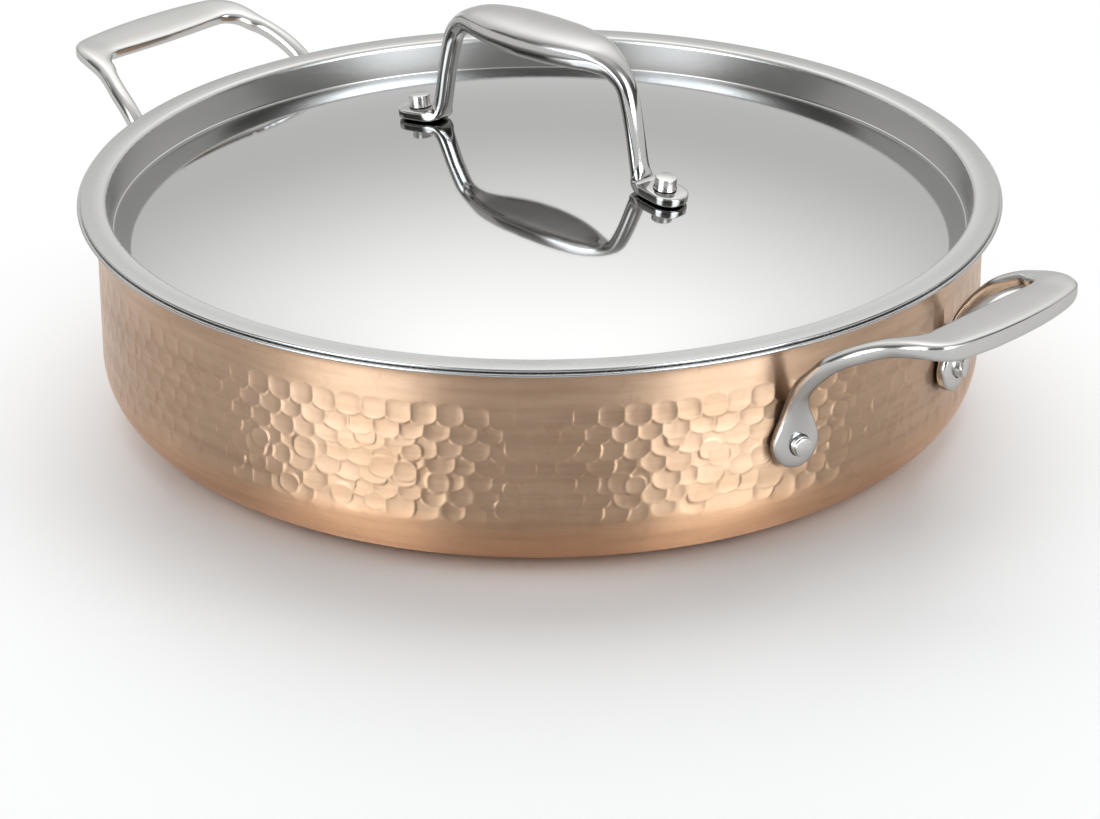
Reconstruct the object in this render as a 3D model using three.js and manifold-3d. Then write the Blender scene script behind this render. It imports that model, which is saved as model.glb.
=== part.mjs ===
// Low copper-clad pot with riveted loop handles and a recessed, domed steel lid.
// Millimetres, +Z up. The origin is the middle of the base, and the three handles lie along X.
import * as THREE from 'three';
import { mergeVertices } from 'three/addons/utils/BufferGeometryUtils.js';
import Module from 'manifold-3d';

const wasm = await Module();
wasm.setup();

// Pot: a cup of three layers, outside sizes
const panRadius = 154.6;
const rimHeight = 75.6;
const baseCorner = 21.3;
const copperThickness = 0.7;
const coreThickness = 1.2;
const linerThickness = 0.6;
const layerGap = 0.1;

// Pouring lip, rolled out of the steel liner, and the copper that flares up to it
const lipReveal = 1;
const lipThickness = 1.1;
const lipRound = 5;
const flareRadius = 5;
const flareAngle = Math.PI / 3;
const flareGap = 0.25;

// Lid: flat flange, recess wall, crease and dome, sizes of its top surface
const lidThickness = 1.1;
const lidOverhang = 5.4;
const lidSeatGap = 0.3;
const lidWallGap = 0.3;
const lidBend = 2;
const lidWallTaper = 1.2;
const creaseDepth = 12.4;
const creaseFillet = 1.2;
const domeRise = 25.2;
const domeShoulderShare = 0.07;
const domeShoulderPower = 12;

// Side handles
const padSpread = 41;
const padDepth = 37.6;
const padDiameter = 17;
const padThickness = 5;
const padGap = 0.3;
const legWidth = 6.5;
const legThickness = 6;
const gripReach = 56.4;
const gripRise = 8.5;
const gripWidth = 18.7;
const gripHalfLength = 37.2;
const gripThickness = 6.8;
const gripUnderShare = 0.7;
const gripSlantShare = 0.35;
const legSquareness = 2.3;
const gripSquareness = 6;
const gripUnderSquareness = 3.4;
const padSquareness = 2.8;

// Lid handle: heights above the flange
const footSpread = 58;
const footWidth = 13;
const footTip = 8.2;
const footThickness = 3;
const footGap = 0.3;
const archHeight = 55.3;
const archLegWidth = 6.2;
const archLegThickness = 4.8;
const archGripWidth = 24.6;
const archGripCrown = 4.5;
const archGripBelly = 7;
const archSquareness = 2.2;
const archGripSquareness = 5;
const footSquareness = 7;

// Side rivets
const rivetShank = 3.1;
const rivetBody = 3.5;
const rivetClearance = 0.3;
const rivetProud = 2.6;
const rivetChamfer = 0.4;
const innerHeadRadius = 6.5;
const innerHeadHeight = 1.4;
const headGap = 0.2;

// Lid rivets
const lidShank = 2.4;
const lidHeadRadius = 3.75;
const lidHeadHeight = 4.2;
const lidCollarRadius = 4.1;
const lidCollarHeight = 0.8;
const lidUnderRadius = 5;
const lidUnderHeight = 1.3;

// Facets
const roundSides = 48;
const rivetSides = 12;
const ringSides = 12;
const cornerSteps = 6;
const flareSteps = 3;
const lipSteps = 4;
const bendSteps = 3;
const domeSteps = 10;
const stepsPerStation = 2;
const overrun = 4;

const lidRadius = panRadius + lidOverhang;
const lipRadius = lidRadius + lipReveal;
const lipUnderside = rimHeight - lipThickness;
const flangeTop = rimHeight + lidSeatGap + lidThickness;
const coreInset = copperThickness + layerGap;
const linerInset = coreInset + coreThickness + layerGap;
const wallThickness = linerInset + linerThickness;
const innerRadius = panRadius - wallThickness;
const lidWallRadius = innerRadius - lidWallGap - lidThickness;
const creaseRadius = lidWallRadius - lidWallTaper;
const padMidRadius = panRadius + padGap + padThickness / 2;
const padMidReach = Math.sqrt(padMidRadius ** 2 - padSpread ** 2);
const rivetAngle = Math.atan2(padSpread, padMidReach);

const copper = new THREE.MeshStandardMaterial({ color: 0xc48b66, roughness: 0.35, metalness: 1 });
const aluminium = new THREE.MeshStandardMaterial({ color: 0xc9cbce, roughness: 0.5, metalness: 1 });
const brushedSteel = new THREE.MeshStandardMaterial({ color: 0xc4c2be, roughness: 0.38, metalness: 1 });
const polishedSteel = new THREE.MeshStandardMaterial({ color: 0xd6d6d4, roughness: 0.1, metalness: 1 });

// Closed manifold of a geometry, its faces turned outwards
function solid(geometry) {
  const bare = geometry.clone();
  bare.deleteAttribute('normal');
  bare.deleteAttribute('uv');
  const merged = mergeVertices(bare);
  const place = merged.attributes.position;
  const triangles = [];
  let volume = 0;
  for (let i = 0; i < merged.index.count; i += 3) {
    const corners = [0, 1, 2].map((k) => merged.index.getX(i + k));
    if (new Set(corners).size < 3) continue;
    const [a, b, c] = corners.map((k) => new THREE.Vector3().fromBufferAttribute(place, k));
    volume += a.dot(b.cross(c));
    triangles.push(corners);
  }
  const triVerts = new Uint32Array(triangles.flatMap(([a, b, c]) => (volume < 0 ? [a, c, b] : [a, b, c])));
  return new wasm.Manifold(new wasm.Mesh({ numProp: 3, vertProperties: place.array, triVerts }));
}

function named(name, body, material) {
  const { vertProperties, triVerts } = body.getMesh();
  const geometry = new THREE.BufferGeometry();
  geometry.setAttribute('position', new THREE.BufferAttribute(vertProperties, 3));
  geometry.setIndex(new THREE.BufferAttribute(triVerts, 1));
  const mesh = new THREE.Mesh(geometry.toNonIndexed(), material);
  mesh.geometry.computeVertexNormals();
  mesh.name = name;
  return mesh;
}

// Points of an arc in a profile plane, both ends included
function arc(centreX, centreY, radius, from, to, steps) {
  return Array.from({ length: steps + 1 }, (_, i) => {
    const angle = from + (to - from) * (i / steps);
    return new THREE.Vector2(centreX + radius * Math.cos(angle), centreY + radius * Math.sin(angle));
  });
}

// Solid of revolution about Z of a closed profile, or of one that starts and ends on the axis
function turned(profile, sides) {
  const closed = profile[0].x === 0 ? profile : [...profile, profile[0]];
  return solid(new THREE.LatheGeometry(closed, sides).rotateX(Math.PI / 2));
}

// Round bar from one height to another on the Z axis of a matrix
function bar(radius, from, to, matrix) {
  const shape = new THREE.CylinderGeometry(radius, radius, to - from, rivetSides).rotateX(Math.PI / 2);
  return solid(shape.translate(0, 0, (from + to) / 2).applyMatrix4(matrix));
}

function moved(body, matrix) {
  return body.transform(matrix.elements);
}

// Places of the rivets: their own Z axis points out of the pot wall or up out of the lid
function sideRivetPlace(turn, side) {
  const angle = turn + side * rivetAngle;
  const out = new THREE.Vector3(Math.cos(angle), Math.sin(angle), 0);
  const place = new THREE.Matrix4().makeBasis(
    new THREE.Vector3(-out.y, out.x, 0), new THREE.Vector3(0, 0, 1), out);
  return place.setPosition(0, 0, flangeTop - padDepth);
}

function lidRivetPlace(side) {
  const tilt = side * Math.atan(-domeSlope(footSpread));
  const place = new THREE.Matrix4().makeRotationY(tilt);
  return place.setPosition(side * footSpread, 0, domeHeight(footSpread));
}

// Height of the lid's dome above the flange at a radius
function domeHeight(radius) {
  const share = radius / creaseRadius;
  const drop = (1 - domeShoulderShare) * share ** 2 + domeShoulderShare * share ** domeShoulderPower;
  return domeRise * (1 - drop) - creaseDepth;
}

function domeSlope(radius) {
  const step = creaseRadius / 1000;
  return (domeHeight(radius + step) - domeHeight(radius - step)) / (2 * step);
}

// Line of one face of the cup, from the axis up to the top of the base corner
function cupLine(inset) {
  const corner = arc(panRadius - baseCorner, baseCorner, baseCorner - inset, -Math.PI / 2, 0, cornerSteps);
  return [new THREE.Vector2(0, inset), ...corner];
}

function copperShell() {
  const flareStart = lipUnderside - flareGap - flareRadius * Math.sin(flareAngle);
  const flare = (radius) => arc(panRadius + flareRadius, flareStart, radius, Math.PI,
    Math.PI - flareAngle, flareSteps);
  const inside = [...cupLine(copperThickness), ...flare(flareRadius + copperThickness)];
  return turned([...cupLine(0), ...flare(flareRadius), ...inside.reverse()], roundSides);
}

function aluminiumCore() {
  const top = rimHeight - lipRound;
  const face = (inset) => [...cupLine(inset), new THREE.Vector2(panRadius - inset, top)];
  return turned([...face(coreInset), ...face(coreInset + coreThickness).reverse()], roundSides);
}

function steelLiner() {
  const centreX = innerRadius + lipRound;
  const centreY = rimHeight - lipRound;
  const flare = (radius) => arc(centreX, centreY, radius, Math.PI, Math.PI / 2, lipSteps);
  const edge = lipThickness / 2;
  const lip = [
    new THREE.Vector2(centreX + edge, lipUnderside),
    ...arc(lipRadius - edge, lipUnderside + edge, edge, -Math.PI / 2, Math.PI / 2, lipSteps),
  ];
  const outside = [...cupLine(linerInset), ...flare(lipRound - linerThickness), ...lip];
  const inside = [...cupLine(wallThickness), ...flare(lipRound)];
  return turned([...outside, ...inside.reverse()], roundSides);
}

// The same line moved to its right by a distance
function beside(line, distance) {
  return line.map((point, i) => {
    const before = line[Math.max(i - 1, 0)];
    const after = line[Math.min(i + 1, line.length - 1)];
    const into = point.clone().sub(before).normalize();
    const onward = after.clone().sub(point).normalize();
    if (i === 0) return new THREE.Vector2(point.x, point.y - distance);
    const along = i === line.length - 1 ? into : into.clone().add(onward).normalize();
    const reach = distance / along.dot(into);
    return new THREE.Vector2(point.x + along.y * reach, point.y - along.x * reach);
  });
}

function lidPanel() {
  const domeEnd = creaseRadius - creaseFillet;
  const dome = Array.from({ length: domeSteps + 1 }, (_, i) => {
    const radius = domeEnd * (i / domeSteps);
    return new THREE.Vector2(radius, domeHeight(radius));
  });
  const crease = [
    new THREE.Vector2(creaseRadius - creaseFillet / 3, domeHeight(domeEnd) - creaseFillet / 3),
    new THREE.Vector2(creaseRadius, creaseFillet - creaseDepth),
  ];
  const bend = arc(lidWallRadius + lidBend, -lidBend, lidBend, Math.PI, Math.PI / 2, bendSteps);
  const sheet = [...dome, ...crease, ...bend];
  const half = lidThickness / 2;
  const edge = arc(lidRadius - half, -half, half, Math.PI / 2, -Math.PI / 2, bendSteps);
  return turned([...sheet, ...edge, ...beside(sheet, lidThickness).reverse()], roundSides);
}

// Closed skin over a row of rings with equal numbers of points, with flat ends
function skin(rings) {
  const count = rings[0].length;
  const points = rings.flat();
  const index = [];
  const last = (rings.length - 1) * count;
  for (let r = 0; r < last; r += count) {
    for (let i = 0; i < count; i++) {
      const j = (i + 1) % count;
      index.push(r + i, r + j, r + count + i, r + j, r + count + j, r + count + i);
    }
  }
  for (let i = 1; i < count - 1; i++) {
    index.push(0, i + 1, i, last, last + i, last + i + 1);
  }
  const geometry = new THREE.BufferGeometry().setFromPoints(points);
  geometry.setIndex(index);
  return solid(geometry);
}

// Points of a rounded section: half width, height above and below, and how square each side is
function section({ half, above, below, squareAbove, squareBelow }) {
  return Array.from({ length: ringSides }, (_, i) => {
    const angle = (2 * Math.PI * (i + 0.5)) / ringSides;
    const across = Math.cos(angle);
    const up = Math.sin(angle);
    const power = 2 / (up > 0 ? squareAbove : squareBelow);
    return {
      side: half * Math.sign(across) * Math.abs(across) ** power,
      up: (up > 0 ? above : below) * Math.sign(up) * Math.abs(up) ** power,
    };
  });
}

// Smooth run through rows of numbers, several steps from each row to the next
function smoothed(rows) {
  const curves = [];
  for (let k = 0; k < rows[0].length; k += 2) {
    const points = rows.map((row) => new THREE.Vector3(row[k], row[k + 1] ?? 0, 0));
    curves.push(new THREE.CatmullRomCurve3(points, false, 'catmullrom'));
  }
  const steps = (rows.length - 1) * stepsPerStation;
  return Array.from({ length: steps + 1 }, (_, i) =>
    curves.flatMap((curve) => curve.getPoint(i / steps).toArray().slice(0, 2)));
}

const mix = (from, to, share) => from + (to - from) * share;

// Angles that share out the round end of a pad or foot, from its tip to its full width
const roundEndAngles = [0.12, 0.3, 0.55, 0.78, 1].map((share) => (share * Math.PI) / 2);
const padShoulderAngle = 2;

// Side handle in its own frame: X away from the pot, Y along the rim, Z up.
// Its blank is a flat forging bent over a sheet that hugs the wall below and lies level above.
const bentReachShares = [0, 0, 0.013, 0.048, 0.098, 0.174, 0.268, 0.394, 0.551, 0.725, 0.866, 1];
const bentRiseShares = [-0.24, 0, 0.21, 0.373, 0.485, 0.602, 0.714, 0.813, 0.905, 0.97, 0.993, 1];
const wallEndShare = 0.22;
const levelShare = 0.5;
const slopeStepShare = 0.002;

function bentSheet() {
  const reach = panRadius + gripReach - padMidReach;
  const rise = gripRise + padDepth;
  const line = new THREE.SplineCurve(bentReachShares.map((share, i) =>
    new THREE.Vector2(padMidReach + share * reach, flangeTop - padDepth + bentRiseShares[i] * rise)));
  const place = (side, along) => {
    const at = line.getPointAt(THREE.MathUtils.clamp(along, 0, 1));
    const hug = 1 - THREE.MathUtils.smoothstep(along, wallEndShare, levelShare);
    const sag = Math.sqrt(padMidRadius ** 2 - side ** 2) - padMidReach;
    return new THREE.Vector3(at.x + hug * sag, side, at.y);
  };
  return { place, length: line.getLength() };
}

// Rows of a side handle's leg: share of the way in from the pad's line to the grip's end, share of the
// sheet's length, and how far the section has spread from leg to pad
const legShares = [
  [-0.03, 0.2, 0.54],
  [-0.12, 0.245, 0.24],
  [-0.24, 0.295, 0.07],
  [-0.33, 0.35, 0.01],
  [-0.33, 0.42, 0],
  [-0.27, 0.5, 0],
  [-0.06, 0.6, 0],
  [0.24, 0.68, 0],
];

// Rows of the grip from its end to its middle: inner and outer edge, each as a share of the grip's half
// length and a share of its width in from the outer line, then how far the section has turned to grip
const gripShares = [
  [0.905, 1.4, 1.105, 1.3, 0.02],
  [0.87, 1.21, 1.08, 0.88, 0.1],
  [0.815, 1.07, 1.025, 0.5, 0.3],
  [0.75, 0.985, 0.92, 0.25, 0.6],
  [0.64, 0.965, 0.74, 0.13, 0.9],
  [0.33, 0.985, 0.36, 0.03, 1],
  [0, 1, 0, 0, 1],
];

// Rows of a whole half: side and sheet place of the inner edge and of the outer edge, then the two shares
function sideHandleRows(sheetLength) {
  const padCentre = (-bentRiseShares[0] * (gripRise + padDepth)) / sheetLength;
  const padRadius = padDiameter / 2;
  const padRows = [...roundEndAngles, padShoulderAngle].map((angle) => {
    const along = padCentre - (padRadius * Math.cos(angle)) / sheetLength;
    const half = padRadius * Math.sin(angle);
    return [padSpread - half, along, padSpread + half, along, 1, 0];
  });
  const legRows = legShares.map(([share, along, pad]) => {
    const side = mix(padSpread, gripHalfLength - legWidth / 2, share);
    const half = mix(legWidth, padDiameter, pad) / 2;
    return [side - half, along, side + half, along, pad, 0];
  });
  const gripRows = gripShares.map(([inner, innerDepth, outer, outerDepth, grip]) => [
    inner * gripHalfLength,
    1 - (innerDepth * gripWidth) / sheetLength,
    outer * gripHalfLength,
    1 - (outerDepth * gripWidth) / sheetLength,
    0,
    grip,
  ]);
  return [...padRows, ...legRows, ...gripRows];
}

function sideHandleRings() {
  const sheet = bentSheet();
  return smoothed(sideHandleRows(sheet.length)).map(([inner, innerAlong, outer, outerAlong, pad, grip]) => {
    const flat = THREE.MathUtils.clamp(pad, 0, 1);
    const plain = mix(legThickness, padThickness, flat) / 2;
    const points = section({
      half: 1,
      above: mix(plain, gripThickness * gripUnderShare, grip),
      below: mix(plain, gripThickness * (1 - gripUnderShare), grip),
      squareAbove: mix(mix(legSquareness, padSquareness, flat), gripUnderSquareness, grip),
      squareBelow: mix(legSquareness, gripSquareness, Math.max(grip, flat)),
    });
    return points.map(({ side, up }) => {
      const slant = up > 0 ? 1 + gripSlantShare * grip * side : 1;
      const across = mix(inner, outer, (1 + side) / 2);
      const along = mix(innerAlong, outerAlong, (1 + side) / 2);
      const upSheet = sheet.place(across, along + slopeStepShare)
        .sub(sheet.place(across, along - slopeStepShare));
      const aside = padSpread * slopeStepShare;
      const acrossSheet = sheet.place(across + aside, along).sub(sheet.place(across - aside, along));
      const out = acrossSheet.cross(upSheet).normalize();
      return sheet.place(across, along).addScaledVector(out, up * slant);
    });
  });
}

// Both halves of a handle that is alike on either side of a plane
function mirrored(rings, axis) {
  const flip = (point) => point.clone().setComponent(axis, -point.getComponent(axis));
  return [...rings, ...rings.slice(0, -1).reverse().map((ring) => ring.map(flip))];
}

function sideHandle() {
  let body = skin(mirrored(sideHandleRings(), 1));
  for (const side of [-1, 1]) {
    body = body.subtract(bar(rivetBody + rivetClearance, panRadius - overrun,
      panRadius + padThickness + overrun, sideRivetPlace(0, side)));
  }
  return body;
}

// Rows of the lid handle from the foot to the middle of the grip: share of the foot spread,
// share of the arch height, and how far the section has turned from leg to foot and to grip
const archShares = [
  [0.832, 0.243, 0.4, 0],
  [0.818, 0.283, 0.1, 0],
  [0.8, 0.362, 0, 0],
  [0.765, 0.565, 0, 0],
  [0.733, 0.724, 0, 0.01],
  [0.702, 0.822, 0, 0.03],
  [0.652, 0.889, 0, 0.1],
  [0.583, 0.943, 0, 0.24],
  [0.487, 0.981, 0, 0.49],
  [0.383, 0.995, 0, 0.7],
  [0.209, 1, 0, 0.92],
  [0, 1, 0, 1],
];

// Straight part of a foot: share of its width in from the round end's centre, and share of its width there
const footStraightShares = [
  [0.42, 0.96],
  [0.66, 0.88],
];

function archRings() {
  const footRadius = footWidth / 2;
  const onDome = (x) => domeHeight(x) + footGap + footThickness / 2;
  const centre = footSpread + footTip - footRadius;
  const footRows = [
    ...roundEndAngles.map((angle) => [centre + footRadius * Math.cos(angle), footRadius * Math.sin(angle)]),
    ...footStraightShares.map(([inward, width]) => [centre - inward * footWidth, width * footRadius]),
  ].map(([x, half]) => [x, onDome(x), half, 1, 0]);
  const archRows = archShares.map(([x, z, foot, grip]) => {
    const width = mix(mix(archLegWidth, footWidth, foot), archGripWidth, grip);
    return [x * footSpread, z * archHeight, width / 2, foot, grip];
  });
  const path = smoothed([...footRows, ...archRows]);
  return path.map(([x, z, half, foot, grip], i) => {
    const before = path[Math.max(i - 1, 0)];
    const after = path[Math.min(i + 1, path.length - 1)];
    const go = new THREE.Vector2(after[0] - before[0], after[1] - before[1]).normalize();
    if (i === path.length - 1) go.set(-1, 0);
    const flat = THREE.MathUtils.clamp(foot, 0, 1);
    const plain = mix(archLegThickness, footThickness, flat) / 2;
    const points = section({
      half,
      above: mix(plain, archGripCrown, grip),
      below: mix(plain, archGripBelly, Math.sqrt(Math.max(grip, 0))),
      squareAbove: mix(archSquareness, footSquareness, flat),
      squareBelow: mix(archSquareness, archGripSquareness, Math.max(flat, grip)),
    });
    return points.map(({ side, up }) => new THREE.Vector3(x + go.y * up, side, z - go.x * up));
  });
}

function lidHandle() {
  let body = skin(mirrored(archRings(), 0));
  for (const side of [-1, 1]) {
    body = body.subtract(bar(lidShank + rivetClearance, -overrun,
      footThickness + overrun, lidRivetPlace(side)));
  }
  return body;
}

// Side rivet: a head that hugs the inside of the pot, a shank in the wall and a thicker body in the pad
function sideRivet(side) {
  const place = sideRivetPlace(0, side);
  const height = flangeTop - padDepth;
  const seat = innerRadius - headGap;
  const bodyStart = panRadius + padGap / 2;
  const end = panRadius + padGap + padThickness + rivetProud;
  const hollow = turned([
    new THREE.Vector2(0, height - innerHeadRadius * 2),
    new THREE.Vector2(seat, height - innerHeadRadius * 2),
    new THREE.Vector2(seat, height + innerHeadRadius * 2),
    new THREE.Vector2(0, height + innerHeadRadius * 2),
  ], roundSides);
  const pin = turned([
    new THREE.Vector2(0, seat - innerHeadHeight / 2),
    new THREE.Vector2(rivetShank, seat - innerHeadHeight / 2),
    new THREE.Vector2(rivetShank, bodyStart),
    new THREE.Vector2(rivetBody, bodyStart),
    new THREE.Vector2(rivetBody, end - rivetChamfer),
    new THREE.Vector2(rivetBody - rivetChamfer, end),
    new THREE.Vector2(0, end),
  ], rivetSides);
  const head = bar(innerHeadRadius, seat - innerHeadHeight, innerRadius, place).intersect(hollow);
  return head.add(moved(pin, place));
}

function lidRivet() {
  const under = -lidThickness - headGap;
  const seat = footGap + footThickness + headGap;
  const end = seat + lidHeadHeight;
  return turned([
    new THREE.Vector2(0, under - lidUnderHeight),
    new THREE.Vector2(lidUnderRadius - lidUnderHeight / 2, under - lidUnderHeight),
    new THREE.Vector2(lidUnderRadius, under - lidUnderHeight / 2),
    new THREE.Vector2(lidUnderRadius, under),
    new THREE.Vector2(lidShank, under),
    new THREE.Vector2(lidShank, seat),
    new THREE.Vector2(lidCollarRadius, seat),
    new THREE.Vector2(lidCollarRadius, seat + lidCollarHeight / 2),
    new THREE.Vector2(lidHeadRadius, seat + lidCollarHeight),
    new THREE.Vector2(lidHeadRadius, end - rivetChamfer),
    new THREE.Vector2(lidHeadRadius - rivetChamfer, end),
    new THREE.Vector2(0, end),
  ], rivetSides);
}

// Assembly
const turns = { right: 0, left: Math.PI };
const sides = { front: -1, back: 1 };

// The four rivet holes through a layer of the wall
function drilled(body) {
  for (const turn of Object.values(turns)) {
    for (const side of Object.values(sides)) {
      body = body.subtract(bar(rivetShank + rivetClearance, innerRadius - overrun,
        panRadius + overrun, sideRivetPlace(turn, side)));
    }
  }
  return body;
}

const pot = new THREE.Group();
pot.add(named('pan_copper_shell', drilled(copperShell()), copper));
pot.add(named('pan_aluminium_core', drilled(aluminiumCore()), aluminium));
pot.add(named('pan_steel_liner', drilled(steelLiner()), brushedSteel));

for (const [name, turn] of Object.entries(turns)) {
  const mount = new THREE.Group();
  mount.rotation.z = turn;
  mount.add(named(`side_handle_${name}`, sideHandle(), brushedSteel));
  for (const [end, side] of Object.entries(sides)) {
    mount.add(named(`side_rivet_${name}_${end}`, sideRivet(side), brushedSteel));
  }
  pot.add(mount);
}

const lid = new THREE.Group();
lid.position.z = flangeTop;
let panel = lidPanel();
for (const [name, side] of [['right', 1], ['left', -1]]) {
  const place = lidRivetPlace(side);
  panel = panel.subtract(bar(lidShank + rivetClearance, -overrun, overrun, place));
  const rivet = named(`lid_rivet_${name}`, lidRivet(), polishedSteel);
  rivet.applyMatrix4(place);
  lid.add(rivet);
}
lid.add(named('lid_panel', panel, polishedSteel));
lid.add(named('lid_handle', lidHandle(), polishedSteel));

const assembly = new THREE.Group();
assembly.add(pot, lid);
assembly.updateMatrixWorld(true);

export default assembly;
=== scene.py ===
"""Looks of a low hammered-copper pot with riveted loop handles and a recessed steel lid."""
import math

import bpy
import numpy as np
from mathutils import Matrix, Vector


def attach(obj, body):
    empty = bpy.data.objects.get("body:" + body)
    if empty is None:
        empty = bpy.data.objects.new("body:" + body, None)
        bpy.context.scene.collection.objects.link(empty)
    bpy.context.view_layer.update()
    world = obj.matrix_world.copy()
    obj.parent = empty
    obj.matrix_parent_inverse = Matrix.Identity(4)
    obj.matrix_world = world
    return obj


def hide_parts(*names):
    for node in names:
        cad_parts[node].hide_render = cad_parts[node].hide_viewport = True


MM = 0.001
PI = math.pi

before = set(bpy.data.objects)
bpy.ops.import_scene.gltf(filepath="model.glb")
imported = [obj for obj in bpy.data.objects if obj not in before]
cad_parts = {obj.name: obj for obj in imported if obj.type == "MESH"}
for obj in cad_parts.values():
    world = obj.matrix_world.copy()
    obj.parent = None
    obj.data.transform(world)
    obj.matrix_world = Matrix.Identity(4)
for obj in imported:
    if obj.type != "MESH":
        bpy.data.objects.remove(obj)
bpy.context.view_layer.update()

# Pot, as in the part
PAN_RADIUS = 154.6 * MM
RIM_HEIGHT = 75.6 * MM
BASE_CORNER = 21.3 * MM
COPPER = 0.7 * MM
LINER_INSET = 2.1 * MM
LINER = 0.6 * MM
WALL = LINER_INSET + LINER
INNER_RADIUS = PAN_RADIUS - WALL
LID_RADIUS = PAN_RADIUS + 5.4 * MM
LIP_RADIUS = LID_RADIUS + 1 * MM
LIP_THICKNESS = 1.1 * MM
LIP_ROUND = 5 * MM
LIP_UNDERSIDE = RIM_HEIGHT - LIP_THICKNESS
FLARE_RADIUS = 5 * MM
FLARE_ANGLE = PI / 3
FLARE_START = LIP_UNDERSIDE - 0.25 * MM - FLARE_RADIUS * math.sin(FLARE_ANGLE)

# Lid, heights from its flange
LID_THICKNESS = 1.1 * MM
SEAM = 0.22 * MM
FLANGE_TOP = RIM_HEIGHT + 0.3 * MM + LID_THICKNESS
LID_WALL_RADIUS = INNER_RADIUS - 0.3 * MM - LID_THICKNESS
LID_BEND = 2 * MM
CREASE_RADIUS = LID_WALL_RADIUS - 1.2 * MM
CREASE_DEPTH = 12.4 * MM
CREASE_FILLET = 1.2 * MM
DOME_RISE = 25.2 * MM
SHOULDER_SHARE = 0.07
SHOULDER_POWER = 12

# Side handles
PAD_SPREAD = 41 * MM
PAD_DEPTH = 37.6 * MM
PAD_RADIUS = 8.5 * MM
PAD_THICKNESS = 5 * MM
PAD_GAP = 0.3 * MM
LEG_WIDTH = 6.5 * MM
LEG_THICKNESS = 6 * MM
GRIP_REACH = 56.25 * MM
GRIP_RISE = 8.5 * MM
GRIP_WIDTH = 18.7 * MM
GRIP_HALF_LENGTH = 37.2 * MM
GRIP_THICKNESS = 6.8 * MM
GRIP_UNDER_SHARE = 0.7
GRIP_SLANT_SHARE = 0.35
LEG_SQUARENESS = 2.3
GRIP_SQUARENESS = 6
GRIP_UNDER_SQUARENESS = 3.4
PAD_SQUARENESS = 2.8
PAD_MID_RADIUS = PAN_RADIUS + PAD_GAP + PAD_THICKNESS / 2
PAD_MID_REACH = math.sqrt(PAD_MID_RADIUS ** 2 - PAD_SPREAD ** 2)
RIVET_ANGLE = math.atan2(PAD_SPREAD, PAD_MID_REACH)
RIVET_RADIUS = 3.5 * MM
RIVET_HOLE = 3.85 * MM
SIDE_SHANK = 3.1 * MM
FLAT_HEAD = 6.5 * MM
RIVET_END = PAN_RADIUS + PAD_GAP + PAD_THICKNESS + 2.6 * MM

# Lid handle
FOOT_SPREAD = 58 * MM
FOOT_RADIUS = 6.9 * MM
FOOT_TIP = 8.7 * MM
FOOT_THICKNESS = 3.8 * MM
FOOT_GAP = 0.3 * MM
ARCH_HEIGHT = 55.3 * MM
ARCH_LEG_WIDTH = 7.2 * MM
ARCH_LEG_THICKNESS = 5.8 * MM
ARCH_GRIP_WIDTH = 24.6 * MM
ARCH_CROWN = 4.35 * MM
ARCH_BELLY = 7 * MM
ARCH_SQUARENESS = 2.2
ARCH_GRIP_SQUARENESS = 5
FOOT_SQUARENESS = 7

# Hammered band: rows of dents struck from the bottom row up, and each row the same way round
BAND_TOP = 62.4 * MM
BAND_FOOT = 17.6 * MM
DENTS_ROUND = 113
DENT_ROWS = 7
FIRST_ROW = 57.5 * MM
ROW_PITCH = 5.72 * MM
DENT_WIDTH = 9.1 * MM
DENT_HEIGHT = 7.9 * MM
DENT_DEPTH = 0.3 * MM
DENT_ROUNDNESS = 2.6
DENT_FLATNESS = 2.8
RIDGE_SHARE = 0.13
DENT_TILT = 0.25
COLUMNS_PER_DENT = 20
ROW_STEP = 0.4 * MM

# How loosely the dents are struck, each from the first value at the top row to the second at the foot
LOOSE_PLACE = (0.03, 0.24)
LOOSE_LEVEL_MM = (0.15, 1.1)
LOOSE_SIZE = (0.03, 0.18)
WEAKEST = (0.8, 0.35)
STRONGEST = (1.1, 0.9)

# Smaller dents that fell between the rows; those struck later cover parts of them
STRAY_DENTS = 120
STRAY_AFTER_ROW = 2
STRAY_FOOT = 24 * MM
STRAY_TOP = 49 * MM
STRAY_SIZE = (0.7, 0.95)
STRAY_DEPTH = 0.6

# Mesh
SEGMENTS = DENTS_ROUND * 4
CORNER_STEPS = 28
SECTION_SIDES = 48
RING_STEPS = 7
RIVET_SEGMENTS = 64
SHARP = math.radians(38)
COPPER_SHARP = math.radians(60)
rng = np.random.default_rng(7)


# Curves

def arc(centre_x, centre_y, radius, start, end, steps):
    """Points along an arc, both ends included."""
    angles = np.linspace(start, end, steps + 1)
    return [(centre_x + radius * math.cos(a), centre_y + radius * math.sin(a)) for a in angles]


def hermite(p0, p1, p2, p3, t):
    """Point of a Catmull-Rom piece between p1 and p2."""
    slope1 = (p2 - p0) / 2
    slope2 = (p3 - p1) / 2
    return (p1 + slope1 * t + (3 * (p2 - p1) - 2 * slope1 - slope2) * t ** 2
            + (2 * (p1 - p2) + slope1 + slope2) * t ** 3)


def smoothed(rows, steps, straight_ends=True):
    """Smooth run through rows of numbers, with several steps from each row to the next."""
    rows = np.asarray(rows, float)
    ends = (2 * rows[0] - rows[1], 2 * rows[-1] - rows[-2]) if straight_ends else (rows[0], rows[-1])
    held = np.vstack([ends[0], rows, ends[1]])
    run = [hermite(*held[i:i + 4], k / steps) for i in range(len(rows) - 1) for k in range(steps)]
    return np.vstack([run, rows[-1]])


def mix(start, end, share):
    return start + (end - start) * share


def smoothstep(x, start, end):
    t = np.clip((x - start) / (end - start), 0, 1)
    return t * t * (3 - 2 * t)


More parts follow.
